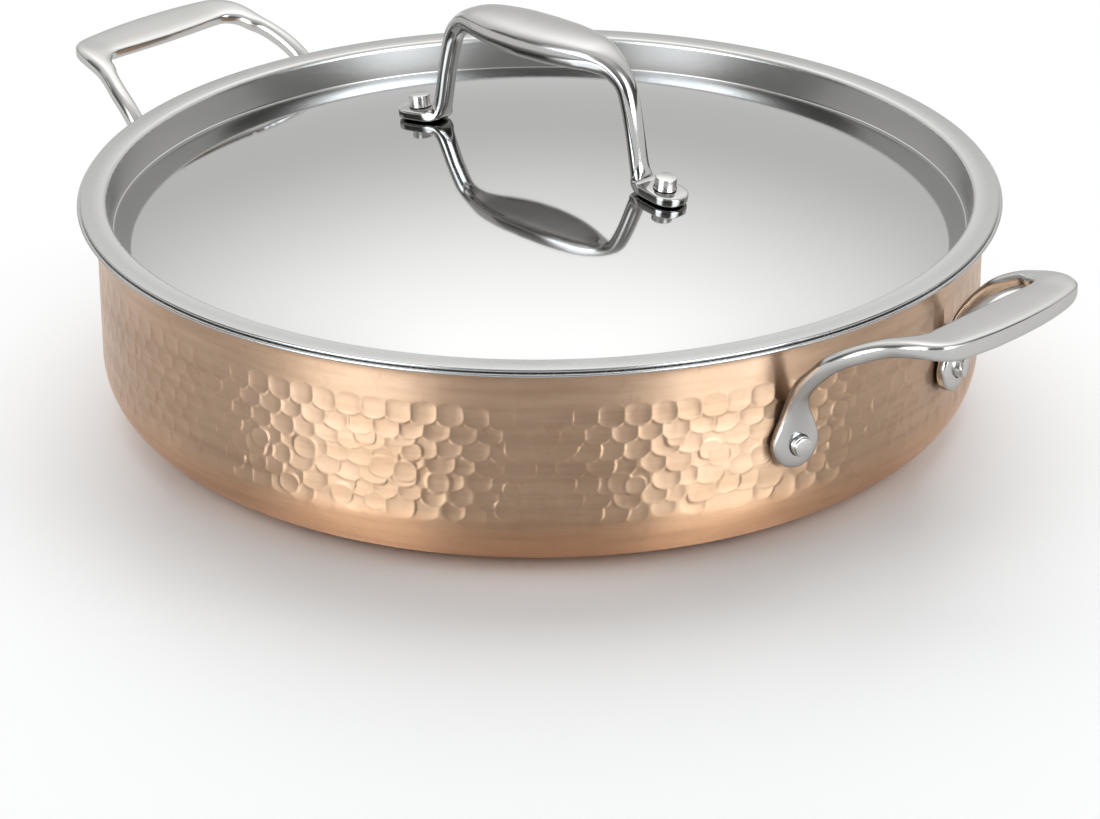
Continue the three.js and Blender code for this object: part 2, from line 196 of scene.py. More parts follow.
def beside(line, distance):
    """The same line moved to its right by a distance."""
    line = np.asarray(line)
    along = np.diff(line, axis=0)
    along /= np.linalg.norm(along, axis=1)[:, None]
    before = np.vstack([[1, 0], along])
    after = np.vstack([along, along[-1]])
    middle = before + after
    middle /= np.linalg.norm(middle, axis=1)[:, None]
    reach = distance / (middle * before).sum(1)
    moved = line + np.column_stack([middle[:, 1], -middle[:, 0]]) * reach[:, None]
    moved[0, 0] = 0
    return moved


# Meshes

def new_mesh(name, points, faces):
    mesh = bpy.data.meshes.new(name)
    mesh.from_pydata(points.tolist(), [], faces)
    return mesh


def new_object(name, data):
    made = bpy.data.objects.new(name, data)
    bpy.context.scene.collection.objects.link(made)
    return made


def turned_inwards(points, faces):
    """Whether the faces of a closed mesh look into it: its signed volume is then negative."""
    fans = np.array([(f[0], f[i], f[i + 1]) for f in faces for i in range(1, len(f) - 1)])
    first, second, third = (points[fans[:, k]] for k in range(3))
    return (first * np.cross(second, third)).sum() < 0


def add_piece(name, points, faces, material, body, slot, nodes, sharp=SHARP):
    """Closed mesh that rides on a body and stands for CAD nodes; its faces are turned outwards."""
    if turned_inwards(points, faces):
        faces = [f[::-1] for f in faces]
    mesh = new_mesh(name, points, faces)
    mesh.shade_smooth()
    mesh.set_sharp_from_angle(angle=sharp)
    mesh.materials.append(material)
    piece = new_object(name, mesh)
    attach(piece, body)
    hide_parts(*nodes)
    return piece


def join_rings(rings, closed):
    """Faces between rings of point numbers; a ring of one point is a pole."""
    faces = []
    onward = rings[1:] + rings[:1] if closed else rings[1:]
    for a, b in zip(rings, onward):
        if len(a) == 1 and len(b) == 1:
            continue
        wide, thin = (a, b) if len(a) >= len(b) else (b, a)
        step = len(wide) // len(thin)
        for i in range(len(thin) if len(thin) > 1 else len(wide)):
            if len(thin) == 1:
                face = (thin[0], wide[i], wide[(i + 1) % len(wide)])
            else:
                run = [wide[(i * step + k) % len(wide)] for k in range(step + 1)]
                face = (*run, thin[(i + 1) % len(thin)], thin[i])
            faces.append(face if wide is a else face[::-1])
    return faces


def revolve(profile, segments=SEGMENTS):
    """Points and faces of a closed profile, or one from axis to axis, turned about Z."""
    turn = np.arange(segments) * 2 * PI / segments
    points, rings, count = [], [], 0
    for radius, height in profile:
        if radius < 1e-9:
            ring = np.array([[0, 0, height]])
        else:
            ring = np.column_stack([radius * np.cos(turn), radius * np.sin(turn),
                                    np.full(segments, height)])
        points.append(ring)
        rings.append(list(range(count, count + len(ring))))
        count += len(ring)
    return np.vstack(points), join_rings(rings, closed=True)


def skin(rings):
    """Points and faces of a closed skin over a row of rings, with flat ends."""
    count = len(rings[0])
    numbers = [list(range(i * count, (i + 1) * count)) for i in range(len(rings))]
    faces = join_rings(numbers, closed=False)
    return np.vstack(rings), [tuple(numbers[0][::-1]), *faces, tuple(numbers[-1])]


# Materials

STEEL = (0.485, 0.483, 0.477)
CAST_STEEL = (0.52, 0.515, 0.5)
RIVET_STEEL = (0.55, 0.54, 0.52)
GRIP_STEEL = (0.47, 0.465, 0.455)
CORE_METAL = (0.75, 0.76, 0.78)
EDGE_TINT = (0.75, 0.75, 0.75, 1)
WHITE = (1, 1, 1)

# The top of the lid handle's grip is satin, above this height
SATIN_FROM = 129 * MM
SATIN_RISE = 4 * MM
SATIN_GAIN = 2.6

# Copper's colour at heights in metres: the base's corner painted redder, a painted reflection of the
# floor, then the wall
COPPER_TONES_AND_PAINTED_REFLECTION = [
    (0, (0.68, 0.375, 0.205)), (0.0185, (0.6, 0.345, 0.195)), (0.021, (0.55, 0.358, 0.226)),
    (0.075, (0.58, 0.388, 0.258)),
]
COPPER_CLOUDS = [(0.32, (0.84, 0.81, 0.76)), (0.6, WHITE)]
COPPER_STREAKS = [(0.34, (0.84, 0.81, 0.77)), (0.56, WHITE)]
TARNISH = (0.36, 0.19, 0.1)
TOP_BAND = (0.061, 0.0635)
TOP_BAND_SHARE = 0.9

# Lid by radius in metres: the dome and crease, the recess wall, the flange
DOME_END, WALL_START, WALL_END, FLANGE_START = 0.1483, 0.1492, 0.1512, 0.153
# Painted light: the recess wall's steel colour is raised brighter and warmer than the rest of the same
# sheet
RECESS_PAINTED_LIGHT = (1.35, 1.34, 1.28)
DOME_FINISH, RECESS_FINISH, FLANGE_FINISH = 0.06, 0.62, 0.2


class Nodes:
    """Short way to build a node material."""

    def __init__(self, name):
        self.material = bpy.data.materials.new(name)
        self.material.use_nodes = True
        self.tree = self.material.node_tree
        self.shader = self.tree.nodes["Principled BSDF"]

    def add(self, kind, inputs=None, **settings):
        node = self.tree.nodes.new(kind)
        for key, value in settings.items():
            setattr(node, key, value)
        for key, value in (inputs or {}).items():
            if isinstance(value, bpy.types.NodeSocket):
                self.tree.links.new(value, node.inputs[key])
            else:
                node.inputs[key].default_value = value
        return node

    def link(self, output, key):
        self.tree.links.new(output, self.shader.inputs[key])

    def place(self):
        return self.add("ShaderNodeTexCoord").outputs["Object"]

    def height(self, place):
        return self.add("ShaderNodeSeparateXYZ", {"Vector": place}).outputs["Z"]

    def length(self, vector):
        return self.add("ShaderNodeVectorMath", {0: vector}, operation="LENGTH").outputs["Value"]

    def product(self, first, second):
        return self.add("ShaderNodeMath", {0: first, 1: second}, operation="MULTIPLY").outputs[0]

    def noise(self, vector, scale, detail=3.0, roughness=0.55, stretch=(1, 1, 1)):
        mapped = self.add("ShaderNodeMapping", {"Vector": vector, "Scale": stretch})
        return self.add("ShaderNodeTexNoise", {"Vector": mapped.outputs[0], "Scale": scale,
                                               "Detail": detail, "Roughness": roughness}).outputs["Fac"]

    def ramp(self, value, stops):
        """Colour ramp through (place, colour) stops."""
        node = self.add("ShaderNodeValToRGB", {"Fac": value})
        while len(node.color_ramp.elements) < len(stops):
            node.color_ramp.elements.new(0.5)
        for element, (place, colour) in zip(node.color_ramp.elements, stops):
            element.position = place
            element.color = (*colour, 1)
        return node.outputs["Color"]

    def spread(self, value, low, high, source=(0, 1)):
        """Value moved from the source's range to low and high, and held there."""
        ends = {"From Min": source[0], "From Max": source[1], "To Min": low, "To Max": high}
        return self.add("ShaderNodeMapRange", {"Value": value, **ends}).outputs["Result"]

    def blend(self, share, first, second, kind="MIX"):
        """Mix of two colours, each a socket or a plain colour."""
        node = self.add("ShaderNodeMix", data_type="RGBA", blend_type=kind)
        for key, value in ((0, share), (6, first), (7, second)):
            if isinstance(value, bpy.types.NodeSocket):
                self.tree.links.new(value, node.inputs[key])
            else:
                node.inputs[key].default_value = (*value, 1) if key else value
        return node.outputs[2]

    def tinted(self, colour, tint):
        return self.blend(1.0, colour, tint, kind="MULTIPLY")

    def bump(self, height, strength, distance):
        return self.add("ShaderNodeBump", {"Height": height, "Strength": strength,
                                           "Distance": distance}).outputs["Normal"]

    def brushed_round_z(self, amount):
        """Anisotropic shine of metal that was brushed round the Z axis."""
        tangent = self.add("ShaderNodeTangent", direction_type="RADIAL", axis="Z")
        self.link(tangent.outputs[0], "Tangent")
        self.shader.inputs["Anisotropic"].default_value = amount
        self.shader.inputs["Anisotropic Rotation"].default_value = 0.25

    def bare_metal(self):
        self.shader.inputs["Metallic"].default_value = 1
        self.shader.inputs["Specular Tint"].default_value = EDGE_TINT


def steel(name, colour, roughness, brushed=(1, 1, 1), brush_scale=900, grain=0.03, aniso=0.0,
          mottle=0.06, satin_top=False):
    """Stainless steel with fine brushing along the directions that the stretch leaves long."""
    n = Nodes(name)
    place = n.place()
    brush = n.noise(place, brush_scale, detail=4, stretch=brushed)
    cloud = n.noise(place, 38, detail=5, roughness=0.6)
    scratches = n.noise(place, brush_scale * 0.31, detail=2, stretch=brushed)
    low = tuple(c * (1 - mottle) for c in colour)
    high = tuple(min(1, c * (1 + mottle)) for c in colour)
    n.link(n.ramp(cloud, [(0.3, low), (0.7, high)]), "Base Color")
    both = n.blend(0.45, brush, cloud)
    finish = n.spread(both, roughness * 0.8, roughness * 1.22, (0.25, 0.75))
    if satin_top:
        satin = n.spread(n.height(place), 1, SATIN_GAIN, (SATIN_FROM, SATIN_FROM + SATIN_RISE))
        finish = n.product(finish, satin)
    n.link(finish, "Roughness")
    fine = n.bump(brush, grain, 0.0002)
    node = n.add("ShaderNodeBump", {"Height": scratches, "Strength": grain * 0.7, "Distance": 0.0003,
                                    "Normal": fine})
    n.link(node.outputs["Normal"], "Normal")
    n.bare_metal()
    if aniso:
        n.brushed_round_z(aniso)
    return n.material


def copper():
    """Lacquered copper: brushed round the pot, with a painted reflection that makes it warmer towards the
    foot, and faint tarnish.
    """
    n = Nodes("copper_wall")
    place = n.place()
    height = n.height(place)
    brush = n.noise(place, 60, detail=5, roughness=0.65, stretch=(1, 1, 55))
    cloud = n.noise(place, 24, detail=5, roughness=0.6)
    streaks = n.noise(place, 16, detail=4, roughness=0.6, stretch=(1, 1, 12))
    spots = n.noise(place, 150, detail=4, roughness=0.7, stretch=(1, 1, 0.6))
    # The height ramp paints a redder reflection of the floor onto the base's corner
    shaded = n.tinted(n.ramp(height, COPPER_TONES_AND_PAINTED_REFLECTION), n.ramp(cloud, COPPER_CLOUDS))
    streaked = n.tinted(shaded, n.ramp(streaks, COPPER_STREAKS))
    tarnish = n.spread(spots, 0, 0.5, (0.58, 0.78))
    n.link(n.blend(tarnish, streaked, TARNISH), "Base Color")
    satin = n.spread(n.blend(0.5, brush, cloud), 0.37, 0.45, (0.3, 0.7))
    n.link(n.product(satin, n.spread(height, 1, TOP_BAND_SHARE, TOP_BAND)), "Roughness")
    n.link(n.bump(brush, 0.12, 0.0002), "Normal")
    n.brushed_round_z(0.98)
    for key, value in {"Metallic": 1, "Coat Weight": 0.5, "Coat IOR": 1.7, "Coat Roughness": 0.45}.items():
        n.shader.inputs[key].default_value = value
    return n.material


def pressed_steel():
    """The lid's steel: mirror-bright dome, satin recess wall and finely brushed flange."""
    n = Nodes("lid_steel")
    place = n.place()
    flat = n.add("ShaderNodeVectorMath", {0: place, 1: (1, 1, 0)}, operation="MULTIPLY").outputs["Vector"]
    reach = n.length(flat)
    cloud = n.noise(place, 30, detail=4)
    brush = n.noise(place, 500, detail=3)
    zones = (DOME_END, WALL_START, WALL_END, FLANGE_START)
    sheet = n.ramp(cloud, [(0.3, tuple(c * 0.985 for c in STEEL)), (0.7, STEEL)])
    # Painted light on the recess wall: a brighter, warmer band of the same steel
    wall = n.ramp(reach, list(zip(zones, (WHITE, RECESS_PAINTED_LIGHT, RECESS_PAINTED_LIGHT, WHITE))))
    n.link(n.tinted(sheet, wall), "Base Color")
    finishes = (DOME_FINISH, RECESS_FINISH, RECESS_FINISH, FLANGE_FINISH)
    finish = n.ramp(reach, [(radius, (rough,) * 3) for radius, rough in zip(zones, finishes)])
    n.link(n.product(finish, n.spread(brush, 0.96, 1.04, (0.3, 0.7))), "Roughness")
    n.link(n.bump(cloud, 0.01, 0.0003), "Normal")
    n.bare_metal()
    return n.material


copper_wall = copper()
liner_steel = steel("liner_steel", STEEL, 0.26, brushed=(1, 1, 30), aniso=0.4)
cast_steel = steel("cast_steel", CAST_STEEL, 0.17, brushed=(1, 9, 9), brush_scale=420, grain=0.02,
                   mottle=0.02)
rivet_steel = steel("rivet_steel", RIVET_STEEL, 0.24, brush_scale=700)
lid_steel = pressed_steel()
grip_steel = steel("grip_steel", GRIP_STEEL, 0.08, brushed=(9, 1, 9), brush_scale=420, grain=0.01,
                   mottle=0.02, satin_top=True)
core_metal = steel("core_metal", CORE_METAL, 0.45, brushed=(1, 1, 20))


# Pot

def cup_line(inset):
    """Base and corner, an inset in from the copper's outside."""
    corner = arc(PAN_RADIUS - BASE_CORNER, BASE_CORNER, BASE_CORNER - inset, -PI / 2, 0, CORNER_STEPS)
    return [(0, inset), (PAN_RADIUS / 3, inset), *corner]


def outer_line(height):
    """Radius of the copper's outside and its slope inwards, at heights above the base."""
    low = np.clip(BASE_CORNER - height, 0, None)
    across = np.sqrt(BASE_CORNER ** 2 - low ** 2)
    return PAN_RADIUS - BASE_CORNER + across, -low / BASE_CORNER


def dents():
    """Depth of the hammered surface over a grid of heights and turns."""
    columns = DENTS_ROUND * COLUMNS_PER_DENT
    pitch = 2 * PI * PAN_RADIUS / DENTS_ROUND
    column = np.arange(columns) * pitch / COLUMNS_PER_DENT
    heights = np.arange(BAND_FOOT, BAND_TOP, ROW_STEP)
    depth = np.zeros((len(heights), columns))
    length = pitch * DENTS_ROUND

    def strike(middle, level, grow, tilt, deepest):
        """Presses one dent into the older ones and leaves a ridge round it."""
        across = (column - middle + length / 2) % length - length / 2
        near = np.nonzero(np.abs(across) < DENT_WIDTH * 0.75)[0]
        up = (heights - level)[:, None]
        rows = np.nonzero(np.abs(up[:, 0]) < DENT_HEIGHT * 0.85)[0]
        x = across[near][None, :] / (DENT_WIDTH / 2 * grow)
        y = up[rows] / (DENT_HEIGHT / 2 * grow) + tilt * x * 0.5
        far = (np.abs(x) ** DENT_ROUNDNESS + np.abs(y) ** DENT_ROUNDNESS) ** (1 / DENT_ROUNDNESS)
        cut = deepest * (1 - np.minimum(far, 1) ** DENT_FLATNESS)
        flank = deepest * (far - 1) / RIDGE_SHARE
        old = depth[np.ix_(rows, near)]
        depth[np.ix_(rows, near)] = np.where(far < 1, cut, np.minimum(old, np.maximum(flank, 0)))

    for row in reversed(range(DENT_ROWS)):
        loose = row / (DENT_ROWS - 1)
        aside, rise, size = rng.uniform(-1, 1, (3, DENTS_ROUND))
        strength = rng.uniform(mix(*WEAKEST, loose), mix(*STRONGEST, loose), DENTS_ROUND)
        tilt = rng.uniform(-DENT_TILT, DENT_TILT, DENTS_ROUND)
        for i in reversed(range(DENTS_ROUND)):
            strike((i + 0.5 * (row % 2) + mix(*LOOSE_PLACE, loose) * aside[i]) * pitch,
                   FIRST_ROW - row * ROW_PITCH + mix(*LOOSE_LEVEL_MM, loose) * MM * rise[i],
                   1 + mix(*LOOSE_SIZE, loose) * size[i], tilt[i], DENT_DEPTH * strength[i])
        if row == STRAY_AFTER_ROW:
            places = rng.uniform(0, length, STRAY_DENTS)
            levels = rng.uniform(STRAY_FOOT, STRAY_TOP, STRAY_DENTS)
            for middle, level, grow in zip(places, levels, rng.uniform(*STRAY_SIZE, STRAY_DENTS)):
                strike(middle, level, grow, 0, DENT_DEPTH * grow * STRAY_DEPTH)
    return heights, depth


def copper_shell():
    """Copper layer: plain rings below and above the hammered band, and fine ones in it."""
    heights, depth = dents()
    columns = depth.shape[1]
    coarse = np.arange(SEGMENTS) * 2 * PI / SEGMENTS
    fine = np.arange(columns) * 2 * PI / columns
    corner_centre = PAN_RADIUS - BASE_CORNER
    foot_angle = -math.acos(outer_line(heights[0])[0] / BASE_CORNER - corner_centre / BASE_CORNER)
    corner = arc(corner_centre, BASE_CORNER, BASE_CORNER, -PI / 2, foot_angle, 24)[:-1]

    def flare(radius):
        return arc(PAN_RADIUS + FLARE_RADIUS, FLARE_START, radius, PI, PI - FLARE_ANGLE, 8)

    below = [(0, 0), (PAN_RADIUS / 3, 0), *corner]
    above = [*flare(FLARE_RADIUS), *reversed(flare(FLARE_RADIUS + COPPER)), *reversed(cup_line(COPPER))]
    points, rings, count = [], [], 0

    def ring(radius, height, turn):
        nonlocal count
        turn = turn if np.max(radius) > 1e-9 else turn[:1]
        points.append(np.column_stack([radius * np.cos(turn), radius * np.sin(turn),
                                       np.broadcast_to(height, turn.shape)]))
        rings.append(list(range(count, count + len(turn))))
        count += len(turn)

    for radius, height in below:
        ring(radius, height, coarse)
    for k, height in enumerate(heights):
        radius, slope = outer_line(height)
        level = math.sqrt(1 - slope ** 2)
        ring(radius - depth[k] * level, height - depth[k] * slope, fine)
    for radius, height in above:
        ring(radius, height, coarse)
    return np.vstack(points), join_rings(rings, closed=True)


def steel_liner():
    """Steel layer: cup, flare and level pouring lip with a round edge."""
    centre_x, centre_y = INNER_RADIUS + LIP_ROUND, RIM_HEIGHT - LIP_ROUND
    edge = LIP_THICKNESS / 2

    def flare(radius):
        return arc(centre_x, centre_y, radius, PI, PI / 2, 12)

    outside = [*cup_line(LINER_INSET), *flare(LIP_ROUND - LINER), (centre_x + edge, LIP_UNDERSIDE),
               *arc(LIP_RADIUS - edge, LIP_UNDERSIDE + edge, edge, -PI / 2, PI / 2, 12)]
    inside = [*cup_line(WALL), *flare(LIP_ROUND)]
    return revolve([*outside, *reversed(inside)])


add_piece("copper_shell", *copper_shell(), copper_wall, "pot", "copper", ["pan_copper_shell"],
          sharp=COPPER_SHARP)
add_piece("steel_liner", *steel_liner(), liner_steel, "pot", "liner", ["pan_steel_liner"])
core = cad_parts["pan_aluminium_core"]
core.data.materials.clear()
core.data.materials.append(core_metal)


# Handles

def section(half, above, below, square_above, square_below):
    """Rounded cross-section: places across and up, with its own height and squareness above and below."""
    angle = 2 * PI * (np.arange(SECTION_SIDES) + 0.5) / SECTION_SIDES
    across, up = np.cos(angle), np.sin(angle)
    power = np.where(up > 0, 2 / square_above, 2 / square_below)
    side = half * np.sign(across) * np.abs(across) ** power
    return side, np.where(up > 0, above, below) * np.sign(up) * np.abs(up) ** power


ROUND_END_ANGLES = [share * PI / 2 for share in (0.02, 0.08, 0.17, 0.3, 0.45, 0.62, 0.8, 1)]
TIP_ROUNDNESS = 4
PAD_SHOULDER_ANGLE = 2

# Side view of the bent blank, as shares of its reach and its rise; the pad's middle is at 0, 0
BENT_REACH = [0, 0, 0.013, 0.048, 0.098, 0.174, 0.268, 0.394, 0.551, 0.725, 0.866, 1]
BENT_RISE = [-0.24, 0, 0.21, 0.373, 0.485, 0.602, 0.714, 0.813, 0.905, 0.97, 0.993, 1]
WALL_END_SHARE, LEVEL_SHARE = 0.22, 0.5

# Leg from pad to grip: how far it has moved inwards, its place along the blank, its width's share of pad
LEG_SHARES = [
    (-0.03, 0.2, 0.54), (-0.12, 0.245, 0.24), (-0.24, 0.295, 0.07), (-0.33, 0.35, 0.01),
    (-0.33, 0.42, 0), (-0.27, 0.5, 0), (-0.06, 0.6, 0), (0.24, 0.68, 0),
]

# Grip from its corner to its middle: inner edge across and deep, outer edge across and deep, share of grip
GRIP_SHARES = [
    (0.905, 1.4, 1.105, 1.3, 0.02), (0.87, 1.21, 1.08, 0.88, 0.1), (0.815, 1.07, 1.025, 0.5, 0.3),
    (0.75, 0.985, 0.92, 0.25, 0.6), (0.64, 0.965, 0.74, 0.13, 0.9), (0.33, 0.985, 0.36, 0.03, 1),
    (0, 1, 0, 0, 1),
]


def tip_share(angle):
    """Share of the full thickness at the middle of a round end's row, so that its edge is rounded too."""
    return (1 - abs(math.cos(angle)) ** TIP_ROUNDNESS) ** (1 / TIP_ROUNDNESS)


class BentSheet:
    """The surface over which a side handle's flat blank is bent: against the wall, then level."""

    def __init__(self):
        reach = PAN_RADIUS + GRIP_REACH - PAD_MID_REACH
        rise = GRIP_RISE + PAD_DEPTH
        rows = [(PAD_MID_REACH + r * reach, FLANGE_TOP - PAD_DEPTH + h * rise)
                for r, h in zip(BENT_REACH, BENT_RISE)]
        self.line = smoothed(rows, 24, straight_ends=False)
        steps = np.linalg.norm(np.diff(self.line, axis=0), axis=1)
        self.travel = np.concatenate([[0], np.cumsum(steps)])
        self.length = self.travel[-1]

    def place(self, side, along):
        travel = np.clip(along, 0, 1) * self.length
        hug = 1 - smoothstep(along, WALL_END_SHARE, LEVEL_SHARE)
        sag = np.sqrt(PAD_MID_RADIUS ** 2 - side ** 2) - PAD_MID_REACH
        x, z = (np.interp(travel, self.travel, self.line[:, k]) for k in (0, 1))
        return np.stack([x + hug * sag, side, z], axis=-1)


def side_handle_rings():
    """Rings of half a side handle, from its pad to the middle of its grip."""
    sheet = BentSheet()
    length = sheet.length
    centre = -BENT_RISE[0] * (GRIP_RISE + PAD_DEPTH) / length
    rows = []
    for angle in (*ROUND_END_ANGLES, PAD_SHOULDER_ANGLE):
        along = centre - PAD_RADIUS * math.cos(angle) / length
        half = PAD_RADIUS * math.sin(angle)
        rows.append((PAD_SPREAD - half, along, PAD_SPREAD + half, along, 1, 0, tip_share(angle)))
    for share, along, pad in LEG_SHARES:
        side = mix(PAD_SPREAD, GRIP_HALF_LENGTH - LEG_WIDTH / 2, share)
        half = mix(LEG_WIDTH / 2, PAD_RADIUS, pad)
        rows.append((side - half, along, side + half, along, pad, 0, 1))
    for inner, inner_depth, outer, outer_depth, grip in GRIP_SHARES:
        rows.append((inner * GRIP_HALF_LENGTH, 1 - inner_depth * GRIP_WIDTH / length,
                     outer * GRIP_HALF_LENGTH, 1 - outer_depth * GRIP_WIDTH / length, 0, grip, 1))
    rings = []
    step = 0.002
    for inner, inner_along, outer, outer_along, pad, grip, thick in smoothed(rows, RING_STEPS):
        flat = min(max(pad, 0), 1)
        plain = mix(LEG_THICKNESS, PAD_THICKNESS, flat) / 2 * thick
        side, up = section(1, mix(plain, GRIP_THICKNESS * GRIP_UNDER_SHARE, grip),
                           mix(plain, GRIP_THICKNESS * (1 - GRIP_UNDER_SHARE), grip),
                           mix(mix(LEG_SQUARENESS, PAD_SQUARENESS, flat), GRIP_UNDER_SQUARENESS, grip),
                           mix(LEG_SQUARENESS, GRIP_SQUARENESS, max(grip, flat)))
        up = np.where(up > 0, up * (1 + GRIP_SLANT_SHARE * grip * side), up)
        across = mix(inner, outer, (1 + side) / 2)
        along = mix(inner_along, outer_along, (1 + side) / 2)
        rise = sheet.place(across, along + step) - sheet.place(across, along - step)
        aside = PAD_SPREAD * step
        run = sheet.place(across + aside, along) - sheet.place(across - aside, along)
        out = np.cross(run, rise)
        out /= np.linalg.norm(out, axis=1)[:, None]
        rings.append(sheet.place(across, along) + out * up[:, None])
    return rings


def mirrored(rings, axis):
    """The rings and, in return order, their mirror image; the last ring is the middle."""
    flip = np.ones(3)
    flip[axis] = -1
    return [*rings, *(ring * flip for ring in rings[-2::-1])]


def turned_about_z(points, angle):
    along, across = math.cos(angle), math.sin(angle)
    return points @ np.array([[along, -across, 0], [across, along, 0], [0, 0, 1]]).T


def placed(points, matrix):
    matrix = np.array(matrix)
    return points @ matrix[:3, :3].T + matrix[:3, 3]


def drill(piece, radius, length, places):
    """Cuts round holes through a piece; each place's Z axis is a hole's axis."""
    for matrix in places:
        rod = [(0, -length), (radius, -length), (radius, length), (0, length)]
        points, faces = revolve(rod, RIVET_SEGMENTS)
        tool = new_object("hole", new_mesh("hole", placed(points, matrix), faces))
        cut = piece.modifiers.new("hole", "BOOLEAN")
        cut.operation = "DIFFERENCE"
        cut.object = tool
        bpy.context.view_layer.update()
        drilled = piece.evaluated_get(bpy.context.evaluated_depsgraph_get())
        made = bpy.data.meshes.new_from_object(drilled)
        piece.modifiers.clear()
        piece.data = made
        bpy.data.objects.remove(tool)
    piece.data.set_sharp_from_angle(angle=SHARP)


def side_rivet_place(angle, reach=0.0):
    """Matrix whose Z axis points out of the wall at a rivet."""
    out = Vector((math.cos(angle), math.sin(angle), 0))
    place = Matrix((Vector((-out.y, out.x, 0)), Vector((0, 0, 1)), out)).transposed().to_4x4()
    place.translation = out * reach + Vector((0, 0, FLANGE_TOP - PAD_DEPTH))
    return place


# Profile of a side rivet from its flat head inside the pot: radius and reach from the pot's axis
SIDE_RIVET = [
    (0, INNER_RADIUS - 1.6 * MM), (FLAT_HEAD - 0.4 * MM, INNER_RADIUS - 1.6 * MM),
    (FLAT_HEAD, INNER_RADIUS - 1.2 * MM), (FLAT_HEAD, INNER_RADIUS - 0.35 * MM),
    (SIDE_SHANK, INNER_RADIUS - 0.3 * MM), (SIDE_SHANK, PAN_RADIUS + 0.15 * MM),
    (RIVET_RADIUS, PAN_RADIUS + 0.15 * MM), (RIVET_RADIUS, RIVET_END - 1.3 * MM),
    (RIVET_RADIUS - 0.15 * MM, RIVET_END - 1.1 * MM), (RIVET_RADIUS - 0.35 * MM, RIVET_END - 1.05 * MM),
    (RIVET_RADIUS - 0.35 * MM, RIVET_END - 0.3 * MM), (RIVET_RADIUS - 0.45 * MM, RIVET_END - 0.1 * MM),
    (RIVET_RADIUS - 0.7 * MM, RIVET_END), (0, RIVET_END),
]

handle_points, handle_faces = skin(mirrored(side_handle_rings(), 1))
for name, turn in (("right", 0), ("left", PI)):
    handle = add_piece(f"loop_handle_{name}", turned_about_z(handle_points, turn), handle_faces,
                       cast_steel, "pot", "handles", [f"side_handle_{name}"])
    angles = {"front": turn - RIVET_ANGLE, "back": turn + RIVET_ANGLE}
    drill(handle, RIVET_HOLE, 4 * PAD_THICKNESS,
          [side_rivet_place(angle, PAD_MID_RADIUS) for angle in angles.values()])
    for end, angle in angles.items():
        points, faces = revolve(SIDE_RIVET, RIVET_SEGMENTS)
        add_piece(f"loop_rivet_{name}_{end}", placed(points, side_rivet_place(angle)), faces, rivet_steel,
                  "pot", "rivets", [f"side_rivet_{name}_{end}"])


# Lid

def dome_height(radius):
    """Height of the lid's top over its flange."""
    share = radius / CREASE_RADIUS
    drop = (1 - SHOULDER_SHARE) * share ** 2 + SHOULDER_SHARE * share ** SHOULDER_POWER
    return DOME_RISE * (1 - drop) - CREASE_DEPTH


def dome_slope(radius):
    step = 1e-5
    return (dome_height(radius + step) - dome_height(radius - step)) / (2 * step)


def lid_panel():
    """Lid sheet: dome, crease, recess wall, bend and flange with a round edge."""
    dome_end = CREASE_RADIUS - CREASE_FILLET
    dome = [(r, dome_height(r)) for r in np.linspace(0, dome_end, 90)]
    foot = np.array([CREASE_RADIUS, CREASE_FILLET - CREASE_DEPTH])
    start = np.array([dome_end, dome_height(dome_end)])
    knee_in = 0.1 * MM
    knee = np.array([CREASE_RADIUS - knee_in, start[1] + dome_slope(dome_end) * (CREASE_FILLET - knee_in)])
    crease = [tuple((1 - t) ** 2 * start + 2 * t * (1 - t) * knee + t ** 2 * foot)
              for t in np.linspace(0, 1, 9)[1:]]
    bend = arc(LID_WALL_RADIUS + LID_BEND, -LID_BEND, LID_BEND, PI, PI / 2, 10)
    sheet = [*dome, *crease, *bend]
    half = (LID_THICKNESS + SEAM) / 2
    edge = arc(LID_RADIUS - half, -half, half, PI / 2, -PI / 2, 10)
    under = [tuple(p) for p in beside(sheet, 2 * half)]
    profile = [*sheet, *edge, *reversed(under)]
    return revolve([(r, z + FLANGE_TOP) for r, z in profile])


# Lid handle from its foot to its middle: reach and height of the line, share of foot, share of grip
ARCH_SHARES = [
    (0.832, 0.243, 0.4, 0), (0.818, 0.283, 0.1, 0), (0.8, 0.362, 0, 0), (0.765, 0.565, 0, 0),
    (0.733, 0.724, 0, 0.01), (0.702, 0.822, 0, 0.03), (0.652, 0.889, 0, 0.1), (0.583, 0.943, 0, 0.24),
    (0.487, 0.981, 0, 0.49), (0.383, 0.995, 0, 0.7), (0.209, 1, 0, 0.92), (0, 1, 0, 1),
]

# Straight part of a foot: how far in and how wide, as shares of its width and half width
FOOT_STRAIGHT = [(0.42, 0.96), (0.66, 0.88)]


